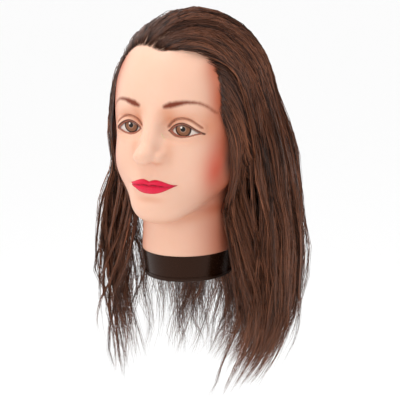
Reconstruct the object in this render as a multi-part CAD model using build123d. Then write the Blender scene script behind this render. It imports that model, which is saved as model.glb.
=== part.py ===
"""Hairdressing training head: rooted vinyl skin on a foam core, with a clamp socket in the neck.

The frame is in millimetres, +Z up, with the face looking along -Y. The origin is the centre of
the clamp socket's mouth, in the flat underside of the neck base.
"""

from build123d import *

import os

# Neck and its base
NECK_HALF = (48.5, 54.5)  # half width and half depth of the neck's oval
NECK_TOP = 112.0  # inside the head, where the neck has run out
NECK_WAIST = 1.5  # how far the neck draws in halfway up
SKIN = 3.2  # wall of the moulded vinyl skin
FIT_GAP = 0.15  # gap between pieces that are bedded on each other
PLATE_THICK = 3.0
BAND_TOP = 28.0  # the skin's lower edge sits on the base here
BAND_TAPER = 3.0  # how much narrower the band is at its foot
BEAD_HEIGHT = 1.6
BEAD_PROUD = 0.6
SPIGOT_TOP = 52.0
BASE_WALL = 3.5

# Clamp socket
SOCKET_R = 13.5
SLEEVE_WALL = 2.5
SLEEVE_TOP = 72.0
CAP_THICK = 3.0
CAP_SKIRT = 8.0

# Base plate screws
SCREW_AT = (27.5, 31.0)
SCREW_R = 1.9
SCREW_HEAD_R = 3.8
SCREW_HEAD_DEEP = 2.2
SCREW_LENGTH = 18.0
SCREW_EASE = 0.02  # between a screw's shank and its boss
BOSS_R = 5.0
BOSS_TOP = 25.0
DRIVE_ARM = (3.6, 0.8, 1.0)  # one arm of the cross recess: long, wide, deep

# Skull, face and jaw: (centre, half sizes) of the rounded masses that make up the head
CRANIUM = ((0, 8, 190), (75, 92, 82))
FACE = ((0, -26, 150), (64, 64, 83))
JAW = ((0, -50, 99), (41, 40, 29))
CHIN = ((0, -71, 88), (23, 21, 18))
MUZZLE = ((0, -74, 118), (27, 18, 21))
NOSE_BRIDGE = ((0, -85, 161), (8, 14, 29))
NOSE_BRIDGE_LEAN = -17.0
NOSE_TIP = ((0, -95, 146.5), (9.5, 12, 8.5))
NOSE_WING = ((8.5, -88, 143.5), (8, 10, 7))
UPPER_LIP = ((0, -86.5, 118.4), (22, 8.5, 4.4))
LOWER_LIP = ((0, -86.0, 112.2), (18, 8.5, 5.0))
EAR = ((74, 8, 152), (6, 15, 29))
EAR_TILT = 12.0

# Eyes
EYE_AT = (31.5, -67.0, 172.5)
EYE_HALF = (17.0, 12.5, 13.0)  # half sizes of the eye's almond ball, before it is turned
EYE_TURN = 18.0  # its outer end lies further back
EYE_BACK = 4.0  # how far behind its centre the eye is cut off flat
SOCKET_HOLLOW = ((31, -91, 173), (19, 15, 12.5))
POCKET_R = 23.0  # the core is cored out behind each eye
POCKET_BEHIND = 8.0

# Scalp: the skin above a sloping plane from the forehead to the nape is rooted with hair
SCALP_PLANE = ((0, -58, 240), (0, 0.73, 0.68))
LINER = 1.5

# Hair, as it hangs: (height, half width, half depth, how far back its centre is) of its outer form
HAIR_OUTER = (
    (204, 85.5, 102, 8),
    (160, 93, 106, 10),
    (110, 104, 107, 12),
    (50, 109, 104, 14),
    (-20, 103, 100, 14),
    (-80, 94, 96, 13),
    (-135, 84, 90, 12),
)
HAIR_THICK = 15.0
# Where the hair's front edge and its ends lie, seen from the side: (forward or back, height)
HAIR_FRONT_EDGE = ((-60, 232), (-43, 180), (-32, 110), (-24, 40), (-34, -40), (-48, -110))
HAIR_ENDS = ((-48, -110), (-36, -135), (10, -128), (60, -133), (130, -100))
HAIR_ON_CROWN = 11.0
HAIR_CLEAR = 0.3  # between the hair masses and what they lie on
HAIR_PARTING_GAP = 0.4
HAIR_TOP_FROM = 204.0
FRONT_TO_CROWN = -12.0
SIDE_TO_BACK = 45.0
NAPE_TOP = 95.0
FOREHEAD_HALF = (57.0, 58.0)  # half width and height of the forehead's arch
FOREHEAD_AT = (-20.0, 189.0)
BIG = 600.0


def ellipsoid(mass, grow=0.0):
    """A rounded mass, with every half size grown by the same amount."""
    centre, half = mass
    return Pos(*centre) * scale(Sphere(1), by=tuple(h + grow for h in half))


def mirrored(solid):
    """A left piece and its right twin, as one shape."""
    return solid + mirror(solid, about=Plane.YZ)


def oval(half, height, grow=0.0, back=0.0):
    """A horizontal oval outline at a height."""
    return Pos(0, back, height) * Ellipse(half[0] + grow, half[1] + grow)


def above(point, normal):
    """A very large block that fills the space above a plane."""
    return Plane(origin=point, z_dir=normal) * Box(
        BIG, BIG, BIG, align=(Align.CENTER, Align.CENTER, Align.MIN)
    )


def between(low, high):
    """A block from one corner to the other."""
    size = [b - a for a, b in zip(low, high)]
    middle = [(a + b) / 2 for a, b in zip(low, high)]
    return Pos(*middle) * Box(*size)


def neck(grow):
    """The neck's oval column, drawn in a little halfway up."""
    middle = (BAND_TOP + NECK_TOP) / 2
    outlines = [
        oval(NECK_HALF, BAND_TOP, grow),
        oval(NECK_HALF, middle, grow - NECK_WAIST),
        oval(NECK_HALF, NECK_TOP, grow),
    ]
    return loft(outlines)


def head_form(grow=0.0):
    """Skull, face, jaw and neck as one plain form, without its features."""
    form = ellipsoid(CRANIUM, grow) + ellipsoid(FACE, grow)
    form += ellipsoid(JAW, grow)
    return form + neck(grow)


def ears(grow=0.0):
    """Both ears as plain leaning ovals."""
    centre, half = EAR
    ear = Rot(X=EAR_TILT) * scale(Sphere(1), by=tuple(h + grow for h in half))
    return mirrored(Pos(*centre) * ear)


def eye_ball(grow=0.0):
    """The left eye's whole ball, before its back is cut off."""
    ball = scale(Sphere(1), by=tuple(half + grow for half in EYE_HALF))
    return Pos(*EYE_AT) * Rot(Z=EYE_TURN) * ball


def nose_bridge():
    centre, half = NOSE_BRIDGE
    return Pos(*centre) * Rot(X=NOSE_BRIDGE_LEAN) * scale(Sphere(1), by=half)


def less_pair(solid, left):
    """A solid less a piece on its left and less that piece's twin on its right."""
    solid -= left
    return solid - mirror(left, about=Plane.YZ)


def make_head_skin():
    skin = less_pair(head_form(), ellipsoid(SOCKET_HOLLOW))
    for feature in (CHIN, MUZZLE, NOSE_TIP, UPPER_LIP, LOWER_LIP):
        skin += ellipsoid(feature)
    skin += nose_bridge()
    skin += mirrored(ellipsoid(NOSE_WING))
    skin += ears()
    skin -= less_pair(head_form(-SKIN), ellipsoid(SOCKET_HOLLOW, SKIN))
    return less_pair(skin, eye_ball(FIT_GAP))


def make_eye():
    """One printed, clear-coated eye, flat at the back."""
    back = EYE_AT[1] + EYE_BACK
    keep = between((-BIG, -BIG, -BIG), (BIG, back, BIG))
    return eye_ball() & keep


def make_root_liner():
    """The coat inside the scalp that locks the hair's roots."""
    outer = head_form(-SKIN - FIT_GAP)
    inner = head_form(-SKIN - FIT_GAP - LINER)
    return (outer - inner) & above(*SCALP_PLANE)


def make_foam_core():
    scalp_side = above(*SCALP_PLANE)
    face_side = head_form(-SKIN - FIT_GAP) - scalp_side
    under_liner = head_form(-SKIN - LINER - 2 * FIT_GAP) & scalp_side
    core = face_side + under_liner
    core -= between((-BIG, -BIG, -BIG), (BIG, BIG, SPIGOT_TOP + FIT_GAP))
    in_spigot = loft([oval(NECK_HALF, z, -SKIN - BASE_WALL - 2 * FIT_GAP - NECK_WAIST)
                      for z in (BAND_TOP, SPIGOT_TOP + 1)])
    core += in_spigot
    core -= Cylinder(SOCKET_R + SLEEVE_WALL + CAP_THICK + FIT_GAP, SLEEVE_TOP + CAP_THICK + FIT_GAP,
                     align=(Align.CENTER, Align.CENTER, Align.MIN))
    x, y, z = EYE_AT
    pocket = Cylinder(POCKET_R, BIG, align=(Align.CENTER, Align.CENTER, Align.MIN))
    return less_pair(core, Pos(x, y + POCKET_BEHIND, z) * Rot(X=90) * pocket)


def screw_places():
    """Where the four screws stand, at the corners of a rectangle."""
    return [(sx * SCREW_AT[0], sy * SCREW_AT[1]) for sx in (1, -1) for sy in (1, -1)]


def make_neck_base():
    """The dark moulding whose lower band shows, with a spigot up inside the skin."""
    band = loft([
        oval(NECK_HALF, PLATE_THICK + FIT_GAP, -BAND_TAPER),
        oval(NECK_HALF, BAND_TOP - FIT_GAP, -FIT_GAP),
    ])
    bead = loft([
        oval(NECK_HALF, PLATE_THICK + FIT_GAP, BEAD_PROUD - BAND_TAPER),
        oval(NECK_HALF, PLATE_THICK + BEAD_HEIGHT, BEAD_PROUD - BAND_TAPER),
    ])
    spigot = loft([oval(NECK_HALF, z, -SKIN - FIT_GAP - NECK_WAIST)
                   for z in (BAND_TOP - 1, SPIGOT_TOP)])
    base = band + bead + spigot
    base -= loft([oval(NECK_HALF, z, -SKIN - FIT_GAP - NECK_WAIST - BASE_WALL)
                  for z in (-1, SPIGOT_TOP + 1)])
    outside = base + loft([oval(NECK_HALF, z, -SKIN - FIT_GAP - NECK_WAIST - BASE_WALL + 1)
                           for z in (PLATE_THICK + FIT_GAP, BOSS_TOP)])
    for x, y in screw_places():
        boss_foot = PLATE_THICK + FIT_GAP
        boss = Pos(x, y, boss_foot) * Cylinder(
            BOSS_R, BOSS_TOP - boss_foot, align=(Align.CENTER, Align.CENTER, Align.MIN))
        base += boss & outside
        base -= Pos(x, y, 0) * Cylinder(SCREW_R + SCREW_EASE, SCREW_LENGTH + 1,
                                        align=(Align.CENTER, Align.CENTER, Align.MIN))
    return base


def make_base_plate():
    plate = extrude(oval(NECK_HALF, 0, BEAD_PROUD - BAND_TAPER), PLATE_THICK)
    edge = plate.edges().sort_by(Axis.Z)[0]
    plate = fillet(edge, PLATE_THICK / 3)
    plate -= Cylinder(SOCKET_R + SLEEVE_WALL + FIT_GAP, BIG)
    for x, y in screw_places():
        plate -= Pos(x, y, 0) * Cylinder(SCREW_R + FIT_GAP, BIG)
        plate -= Pos(x, y, -FIT_GAP) * Cone(SCREW_HEAD_R + 2 * FIT_GAP, SCREW_R + FIT_GAP,
                                           SCREW_HEAD_DEEP + FIT_GAP,
                                           align=(Align.CENTER, Align.CENTER, Align.MIN))
    return plate


def make_socket_sleeve():
    sleeve = Cylinder(SOCKET_R + SLEEVE_WALL, SLEEVE_TOP, align=(Align.CENTER, Align.CENTER, Align.MIN))
    return sleeve - Cylinder(SOCKET_R, BIG)


def make_socket_cap():
    """The cup that closes the sleeve's blind end."""
    outer_r = SOCKET_R + SLEEVE_WALL + CAP_THICK
    cap = Pos(0, 0, SLEEVE_TOP - CAP_SKIRT) * Cylinder(
        outer_r, CAP_SKIRT + CAP_THICK, align=(Align.CENTER, Align.CENTER, Align.MIN))
    return cap - Cylinder(SOCKET_R + SLEEVE_WALL + FIT_GAP, 2 * (SLEEVE_TOP + FIT_GAP))


def make_base_screws():
    screws = []
    for x, y in screw_places():
        head = Cone(SCREW_HEAD_R, SCREW_R, SCREW_HEAD_DEEP, align=(Align.CENTER, Align.CENTER, Align.MIN))
        shank = Cylinder(SCREW_R, SCREW_LENGTH, align=(Align.CENTER, Align.CENTER, Align.MIN))
        long, wide, deep = DRIVE_ARM
        cross = Box(long, wide, 2 * deep) + Box(wide, long, 2 * deep)
        screws.append(Pos(x, y, 0) * (head + shank - cross))
    return Compound(children=screws)


def hair_skirt(shrink):
    """The hanging hair's outer form, or a smaller form inside it."""
    outlines = [oval((wide, deep), height, -shrink, back)
                for height, wide, deep, back in reversed(HAIR_OUTER)]
    return loft(outlines)


def hair_side_outline():
    """Everything behind the hair's front edge and above its ends, as a block across the head."""
    front = Spline(*HAIR_FRONT_EDGE)
    ends = Spline(*HAIR_ENDS)
    rest = Polyline(HAIR_ENDS[-1], (BIG, HAIR_ENDS[-1][1]), (BIG, BIG), (-BIG, BIG),
                    (-BIG, HAIR_FRONT_EDGE[0][1]), HAIR_FRONT_EDGE[0])
    outline = make_face(Wire([*front.edges(), *ends.edges(), *rest.edges()]))
    return extrude(Plane.YZ * outline, BIG / 2, both=True)


def make_hair():
    """The whole head of hair, clear of the skin, with the face left open."""
    top_of_skirt = HAIR_OUTER[0][0]
    cap = ellipsoid(CRANIUM, HAIR_ON_CROWN) & above((0, 0, top_of_skirt), (0, 0, 1))
    hair = cap + hair_skirt(0)
    hair -= hair_skirt(HAIR_THICK)
    hair -= ellipsoid(CRANIUM, HAIR_CLEAR)
    hair -= ellipsoid(FACE, HAIR_CLEAR)
    hair -= ears(HAIR_CLEAR)
    hair &= hair_side_outline()
    forward, height = FOREHEAD_AT
    arch = Plane(origin=(0, forward, height), x_dir=(1, 0, 0), z_dir=(0, -1, 0)) * Ellipse(*FOREHEAD_HALF)
    return hair - extrude(arch, BIG)


def hair_sections(hair):
    """The hair parted as a stylist sections it, with a hair's breadth between the sections."""
    gap = HAIR_PARTING_GAP / 2
    top = between((-BIG, -BIG, HAIR_TOP_FROM + gap), (BIG, BIG, BIG))
    hanging = between((-BIG, -BIG, -BIG), (BIG, BIG, HAIR_TOP_FROM - gap))
    ahead = between((-BIG, -BIG, -BIG), (BIG, FRONT_TO_CROWN - gap, BIG))
    behind = between((-BIG, FRONT_TO_CROWN + gap, -BIG), (BIG, BIG, BIG))
    sides = between((-BIG, -BIG, -BIG), (BIG, SIDE_TO_BACK - gap, BIG))
    back = between((-BIG, SIDE_TO_BACK + gap, -BIG), (BIG, BIG, BIG))
    left = between((gap, -BIG, -BIG), (BIG, BIG, BIG))
    right = mirror(left, about=Plane.YZ)
    inner = hair_skirt(HAIR_THICK / 2 + gap) & between((-BIG, -BIG, -BIG), (BIG, BIG, NAPE_TOP - gap))
    outer = hair_skirt(HAIR_THICK / 2 - gap) & between((-BIG, -BIG, -BIG), (BIG, BIG, NAPE_TOP + gap))
    return {
        "hair_front": hair & top & ahead,
        "hair_crown": hair & top & behind,
        "hair_side_left": hair & hanging & sides & left,
        "hair_side_right": hair & hanging & sides & right,
        "hair_back_left": (hair & hanging & back & left) - outer,
        "hair_back_right": (hair & hanging & back & right) - outer,
        "hair_nape": hair & back & inner,
    }


def main():
    eye = make_eye()
    pieces = {
        "head_skin": make_head_skin(),
        "eye_left": eye,
        "eye_right": mirror(eye, about=Plane.YZ),
        "root_lock_liner": make_root_liner(),
        "foam_core": make_foam_core(),
        "neck_base": make_neck_base(),
        "base_plate": make_base_plate(),
        "base_screws": make_base_screws(),
        "socket_sleeve": make_socket_sleeve(),
        "socket_cap": make_socket_cap(),
    }
    pieces.update(hair_sections(make_hair()))
    os.makedirs("parts", exist_ok=True)
    for name, piece in pieces.items():
        export_step(piece, f"parts/{name}.step")
        print(name, "solids", len(piece.solids()), "volume", round(piece.volume))


if __name__ == "__main__":
    main()
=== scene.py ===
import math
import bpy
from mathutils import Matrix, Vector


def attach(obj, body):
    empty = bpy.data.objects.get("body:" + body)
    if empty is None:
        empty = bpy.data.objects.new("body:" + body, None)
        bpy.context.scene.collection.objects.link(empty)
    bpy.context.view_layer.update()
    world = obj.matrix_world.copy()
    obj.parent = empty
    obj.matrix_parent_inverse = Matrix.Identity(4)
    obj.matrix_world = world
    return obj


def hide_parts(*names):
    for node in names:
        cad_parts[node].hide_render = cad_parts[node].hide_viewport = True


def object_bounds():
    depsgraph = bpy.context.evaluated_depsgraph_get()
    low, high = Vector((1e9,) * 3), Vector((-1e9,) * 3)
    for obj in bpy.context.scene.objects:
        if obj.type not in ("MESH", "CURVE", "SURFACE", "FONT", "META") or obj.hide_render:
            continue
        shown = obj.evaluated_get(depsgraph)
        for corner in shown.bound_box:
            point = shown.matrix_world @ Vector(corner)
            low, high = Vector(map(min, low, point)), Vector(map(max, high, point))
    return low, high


bl_info = {
    "name": "Hairdressing training head",
    "version": (1, 0, 0),
    "blender": (4, 5, 0),
    "location": "View3D > Sidebar > Training head",
    "description": "Makes the skin, eyes, base and rooted hair of a hairdressing training head",
    "category": "Object",
}

import bmesh
import bpy
import numpy as np
from bpy.props import FloatProperty, FloatVectorProperty, IntProperty, PointerProperty
from mathutils import Matrix, Vector

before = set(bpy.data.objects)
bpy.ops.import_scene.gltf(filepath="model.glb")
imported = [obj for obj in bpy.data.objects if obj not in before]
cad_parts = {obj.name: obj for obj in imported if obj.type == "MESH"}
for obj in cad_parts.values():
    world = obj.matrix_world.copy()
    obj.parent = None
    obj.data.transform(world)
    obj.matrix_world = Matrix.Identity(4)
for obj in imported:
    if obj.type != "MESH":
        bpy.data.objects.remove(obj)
CAD_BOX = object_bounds()
MM = 0.001

# ---------------------------------------------------------------- plain shape helpers (millimetres)


def ball(p, centre, half):
    """Signed distance to an ellipsoid, near enough close to its surface."""
    q = p - np.array(centre, float)
    half = np.array(half, float)
    k0 = np.linalg.norm(q / half, axis=1)
    k1 = np.linalg.norm(q / half ** 2, axis=1)
    return k0 * (k0 - 1) / np.maximum(k1, 1e-9)


def capsule(p, start, end, r_start, r_end):
    """Signed distance to a tapering rounded bar."""
    start, end = np.array(start, float), np.array(end, float)
    along = end - start
    t = np.clip((p - start) @ along / (along @ along), 0, 1)
    return np.linalg.norm(p - start - t[:, None] * along, axis=1) - (r_start + (r_end - r_start) * t)


def joined(a, b, soft):
    """Two forms run together, with a fillet of about this size."""
    h = np.clip(0.5 + 0.5 * (b - a) / soft, 0, 1)
    return b * (1 - h) + a * h - soft * h * (1 - h)


def hollowed(a, b, soft):
    """The first form with the second taken out of it, with a soft edge."""
    return -joined(-a, b, soft)


def smooth_line(points, count):
    """Evenly spread points on a smooth curve through the given ones."""
    points = np.array(points, float)
    padded = np.vstack([2 * points[0] - points[1], points, 2 * points[-1] - points[-2]])
    steps = 24
    t = np.linspace(0, 1, steps, endpoint=False)[:, None]
    runs = []
    for a, b, c, d in zip(padded, padded[1:], padded[2:], padded[3:]):
        runs.append(0.5 * (2 * b + (c - a) * t + (2 * a - 5 * b + 4 * c - d) * t ** 2
                           + (3 * b - a - 3 * c + d) * t ** 3))
    line = np.vstack(runs + [points[-1:]])
    length = np.concatenate([[0], np.cumsum(np.linalg.norm(np.diff(line, axis=0), axis=1))])
    at = np.linspace(0, length[-1], count)
    return np.stack([np.interp(at, length, line[:, k]) for k in range(line.shape[1])], axis=1)


def line_distance(flat, line):
    """How far each flat point is from a line, and how far along the line (0 to 1) it is nearest."""
    best = np.full(len(flat), 1e9)
    where = np.zeros(len(flat))
    for i, (a, b) in enumerate(zip(line, line[1:])):
        along = b - a
        t = np.clip((flat - a) @ along / max(along @ along, 1e-12), 0, 1)
        away = np.linalg.norm(flat - a - t[:, None] * along, axis=1)
        nearer = away < best
        best = np.where(nearer, away, best)
        where = np.where(nearer, (i + t) / (len(line) - 1), where)
    return best, where


def outline_distance(flat, outline):
    """Signed distance to a closed outline, below nought inside it."""
    closed = np.vstack([outline, outline[:1]])
    away, _ = line_distance(flat, closed)
    inside = np.zeros(len(flat), bool)
    for a, b in zip(closed, closed[1:]):
        crosses = (a[1] > flat[:, 1]) != (b[1] > flat[:, 1])
        at = a[0] + (flat[:, 1] - a[1]) * (b[0] - a[0]) / (b[1] - a[1] + 1e-12)
        inside ^= crosses & (flat[:, 0] < at)
    return np.where(inside, -away, away)


def fade(x, low, high):
    """A smooth step from nought at low to one at high."""
    t = np.clip((x - low) / (high - low), 0, 1)
    return t * t * (3 - 2 * t)


def hump(x, width):
    """A smooth bump of height one round nought."""
    return np.exp(-(x / width) ** 2)


# ---------------------------------------------------------------- the head's form (millimetres)

SKIN_WALL = 3.0
NECK_HALF = (48.5, 54.5)
NECK_FOOT = 28.0
NECK_TOP = 150.0
WAIST_DEPTH, WAIST_AT, WAIST_REACH = 1.5, 62.0, 26.0

# each rounded form: its centre (across, forward, up) and its half sizes; forward is below nought
SKULL = ((0, 8, 190), (75, 92, 82))
FACE = ((0, -26, 150), (61, 62.5, 80))
JAW = ((0, -50, 97), (37, 39.5, 27))
CHEEK = ((31, -50, 127), (22, 26, 28))
MUZZLE = ((0, -66, 112), (28, 24, 23))
CHIN = ((0, -72, 86), (21, 20.5, 18))
EYE_HOLLOW = ((28, -95, 169.5), (21, 21.5, 13.3))
NOSE_TIP = ((0, -103.5, 142), (9.6, 10.5, 8.6))
NOSE_WING = ((10.2, -91.5, 139), (6.2, 10.0, 6.0))
NOSTRIL = ((6.4, -97.0, 132.6), (2.9, 5.2, 2.6))
# each rounded bar: its ends and its radius at each
JAW_EDGE = ((12, -69, 88.5), (47.5, -16, 114), 16.5, 14)
NOSE_BRIDGE = ((0, -78, 177), (0, -97.5, 145), 7.4, 8.0)

EYE_AT = np.array([30.2, -62.6, 166.2])
EYE_HALF = np.array([19.0, 12.4, 13.5])
EYE_TURN = math.radians(18)
LID_WALL = 1.7
LID_PATCH = ((31.5, 166), (15.5, 8.5))
LID_SINKS, LID_SWELLS = 6, 1.8

# the opening between the lids, seen from the front: (across, up), from the inner corner round
INNER_CORNER, OUTER_CORNER = (15.4, 164.6), (48.4, 161.2)
UPPER_LID = (INNER_CORNER, (19.6, 168.4), (24.6, 171.2), (30.4, 172.0), (37.0, 169.6), (43.4, 165.2),
             OUTER_CORNER)
LOWER_LID = (INNER_CORNER, (19.8, 160.6), (24.4, 158.4), (30.0, 157.8), (36.6, 158.6), (43.0, 160.4),
             OUTER_CORNER)
LID_CREASE = ((13.4, 165.4), (17.0, 171.4), (22.6, 175.8), (29.8, 177.2), (37.0, 175.4), (44.4, 170.2),
              (51.4, 163.2))
BROW = ((14.5, 189.4), (19.8, 190.9), (25.3, 192.0), (32.2, 193.2), (37.8, 193.2), (44.4, 192.0),
        (49.8, 188.8), (53.4, 185.4), (56.9, 181.2))
# the lips, seen from the front
LIP_LINE = ((0.0, 109.6), (4.0, 110.4), (9.0, 110.0), (16.0, 109.3), (26.6, 110.0))
LIP_TOP = ((0.0, 114.6), (3.4, 115.8), (7.4, 116.3), (13.0, 115.0), (19.6, 112.4), (26.6, 110.0))
LIP_FOOT = ((0.0, 101.8), (6.4, 102.2), (12.8, 103.8), (19.0, 106.6), (24.2, 109.2), (26.6, 110.0))


def mirrored(p):
    """The points folded over to the left side, which is the one that is described."""
    return np.stack([np.abs(p[:, 0]), p[:, 1], p[:, 2]], axis=1)


def eye_frame(p):
    """Points in the left eye's own frame: across, out and up from its centre."""
    q = p - EYE_AT
    c, s = math.cos(EYE_TURN), math.sin(EYE_TURN)
    return np.stack([q[:, 0] * c + q[:, 1] * s, -q[:, 0] * s + q[:, 1] * c, q[:, 2]], axis=1)


def neck_column(p):
    """Signed distance to the oval neck, which is a little slimmer half-way up."""
    waist = WAIST_DEPTH * hump(p[:, 2] - WAIST_AT, WAIST_REACH)
    wide, deep = NECK_HALF[0] - waist, NECK_HALF[1] - waist
    k = np.hypot(p[:, 0] / wide, p[:, 1] / deep)
    return np.maximum((k - 1) * wide, p[:, 2] - NECK_TOP)


def head_form(p):
    """Signed distance to the bald head: skull, face, jaw, neck, nose and the eyes' beds."""
    left = mirrored(p)
    right = left * (-1, 1, 1)
    d = joined(ball(left, *SKULL), ball(left, *FACE), 14)
    d = joined(d, ball(left, *JAW), 11)
    d = joined(d, capsule(left, *JAW_EDGE), 10)
    d = joined(d, joined(ball(left, *CHEEK), ball(right, *CHEEK), 10), 14)
    d = joined(d, ball(left, *MUZZLE), 14)
    d = joined(d, ball(left, *CHIN), 12)
    d = joined(d, neck_column(left), 6)
    d = hollowed(d, ball(left, *EYE_HOLLOW), 11)
    nose = joined(capsule(left, *NOSE_BRIDGE), ball(left, *NOSE_TIP), 6)
    nose = joined(nose, np.minimum(ball(left, *NOSE_WING), ball(right, *NOSE_WING)), 4)
    d = joined(d, nose, 10)
    d = hollowed(d, ball(left, *NOSTRIL), 1.6)
    # the lids follow the eye, but never far from the face round them
    lid = ball(eye_frame(left), (0, 0, 0), EYE_HALF + LID_WALL)
    (across, up), (half_across, half_up) = LID_PATCH
    round_eye = np.hypot((left[:, 0] - across) / half_across, (left[:, 2] - up) / half_up)
    on_lid = (1 - fade(round_eye, 0.95, 1.75)) * (left[:, 1] < -50)
    return d * (1 - on_lid) + np.clip(lid, d - LID_SINKS, d + LID_SWELLS) * on_lid


# how far the skin's outer and inner rows end above the neck's foot
FOOT_RISE, INNER_FOOT_RISE = 0.2, 0.9
# rows of the skin's mesh from the crown down to the neck's foot: (rows to the next, then the
# point on the head's axis that they are thrown out from, back and up, and their tilt in degrees)
SKIN_ROWS = (
    (34, 5, 190, 90), (26, -8, 185, 43), (38, -8, 181, 14), (44, -8, 172, -3), (32, -8, 152, -10.5),
    (22, -8, 138, -17.5), (14, -8, 126, -25), (8, -8, 116, -36), (8, -4, 100, -37), (10, 0, 62, -13),
    (0, 0, NECK_FOOT + FOOT_RISE, 0),
)
INNER_ROWS = 36
SKIN_COLUMNS = 280


def sphere_rows(name, columns, rows):
    """A new mesh from a round ball, with the row and the column that each of its points is in."""
    made = bmesh.new()
    bmesh.ops.create_uvsphere(made, u_segments=columns, v_segments=rows, radius=1)
    mesh = bpy.data.meshes.new(name)
    made.to_mesh(mesh)
    made.free()
    at = points_of(mesh)
    row = np.rint(np.arccos(np.clip(at[:, 2], -1, 1)) / math.pi * rows).astype(int)
    column = np.rint(np.arctan2(at[:, 0], -at[:, 1]) / (2 * math.pi) * columns).astype(int) % columns
    return mesh, row, column


def points_of(mesh):
    """Where a mesh's points are, as an array."""
    at = np.empty(len(mesh.vertices) * 3)
    mesh.vertices.foreach_get("co", at)
    return at.reshape(-1, 3)


def put_points(mesh, at):
    """Moves a mesh's points to new places, given in metres."""
    mesh.vertices.foreach_set("co", np.ascontiguousarray(at, dtype=np.float32).ravel())
    mesh.update()


def give(mesh, name, values):
    """A number at each point that a material reads."""
    mesh.attributes.new(name, "FLOAT", "POINT").data.foreach_set("value", np.asarray(values, np.float32))


def new_piece(mesh, smooth=True):
    """Puts a mesh into the scene."""
    if smooth:
        mesh.shade_smooth()
    piece = bpy.data.objects.new(mesh.name, mesh)
    bpy.context.scene.collection.objects.link(piece)
    return piece


RAY_TURNS, RAY_CARE = 70, 0.8


def thrown(form, start, way, near, far):
    """Where rays from inside a form first leave it."""
    reach = np.full(len(start), float(near))
    for _ in range(RAY_TURNS):
        step = -form(start + way * reach[:, None]) * RAY_CARE
        reach = np.clip(reach + step, near, far)
    return start + way * reach[:, None]


def slope(form, p, step=0.25):
    """The outward direction of a form's surface at each point."""
    parts = [form(p + np.eye(3)[k] * step) - form(p - np.eye(3)[k] * step) for k in range(3)]
    n = np.stack(parts, axis=1)
    return n / np.maximum(np.linalg.norm(n, axis=1, keepdims=True), 1e-9)


def relaxed(form, grid, turns):
    """A grid of surface points (rows, columns, 3) spread evenly along the surface."""
    for _ in range(turns):
        middle = (np.roll(grid, 1, 1) + np.roll(grid, -1, 1)) / 2
        new = grid.copy()
        new[1:-1] = (middle[1:-1] + (grid[:-2] + grid[2:]) / 2) / 2
        new = grid + (new - grid) * 0.5
        flat = new.reshape(-1, 3)
        flat = flat - slope(form, flat) * form(flat)[:, None]
        keep = flat.reshape(grid.shape)
        keep[0], keep[-1] = grid[0], grid[-1]
        grid = keep
    return grid


def inner_form(p):
    """Signed distance to the skin's inner wall."""
    bed = ball(eye_frame(mirrored(p)), (0, 0, 0), EYE_HALF + SKIN_WALL - 1)
    return hollowed(head_form(p) + SKIN_WALL, bed, 3)


def skin_rays():
    """Where each row's rays start and how they tilt."""
    keys = np.array(SKIN_ROWS, float)
    row_at = np.concatenate([[0], np.cumsum(keys[:-1, 0])])
    rows = np.arange(int(row_at[-1]) + 1)
    soft = [np.interp(rows, row_at, keys[:, k]) for k in (1, 2, 3)]
    for k in range(3):
        for _ in range(6):
            soft[k][1:-1] = (soft[k][:-2] + 2 * soft[k][1:-1] + soft[k][2:]) / 4
    return np.stack(soft, axis=1)


def column_angles():
    """Angles round the head from the front, close together over the face."""
    angle = np.linspace(-math.pi, math.pi, 2000)
    crowd = 1 + 3.4 * np.exp(-(angle / math.radians(52)) ** 4)
    sum_up = np.concatenate([[0], np.cumsum((crowd[1:] + crowd[:-1]) / 2)])
    share = np.arange(SKIN_COLUMNS) / SKIN_COLUMNS
    return np.interp(share, sum_up / sum_up[-1], angle)


UPPER_LIP_SWELL, LOWER_LIP_SWELL = 2.9, 3.9
MOUTH_CORNER = (27.2, 109.2)
LIP_BACK = -55


def lips_relief(p):
    """How far the lips and the groove above them stand out from the face."""
    across, up = np.abs(p[:, 0]), p[:, 2]
    line, top, foot = (np.interp(across, *np.array(smooth_line(edge, 60)).T)
                       for edge in (LIP_LINE, LIP_TOP, LIP_FOOT))
    width = np.sqrt(np.clip(1 - (across / 26.2) ** 2, 0, 1))
    over = np.clip((up - line) / np.maximum(top - line, 0.2), 0, 1.35)
    under = np.clip((line - up) / np.maximum(line - foot, 0.2), 0, 1.35)
    upper = np.where(up >= line, UPPER_LIP_SWELL * np.sin(math.pi * np.clip(over, 0, 1.0) ** 0.75), 0)
    lower = np.where(up < line, LOWER_LIP_SWELL * np.sin(math.pi * np.clip(under, 0, 1.0) ** 0.62), 0)
    relief = width ** 0.8 * (upper + lower)
    relief += 0.35 * hump(up - top, 1.0) * (width > 0.05) * fade(26 - across, 0, 6)
    relief -= 1.0 * hump(up - line, 0.8) * fade(28.5 - across, 0, 4)
    relief -= 1.3 * hump(np.hypot(across - MOUTH_CORNER[0], up - MOUTH_CORNER[1]), 3.0)
    # the groove between nose and lip, then the dip under the lower lip
    groove = fade(up, 116.5, 119) * (1 - fade(up, 124, 129))
    relief += groove * (0.2 * hump(across - 4.6, 1.9) - 0.45 * hump(across, 2.7))
    relief -= 1.2 * hump(up - 97.5, 4.0) * fade(20 - across, 0, 14)
    return relief * (p[:, 1] < LIP_BACK)


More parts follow.
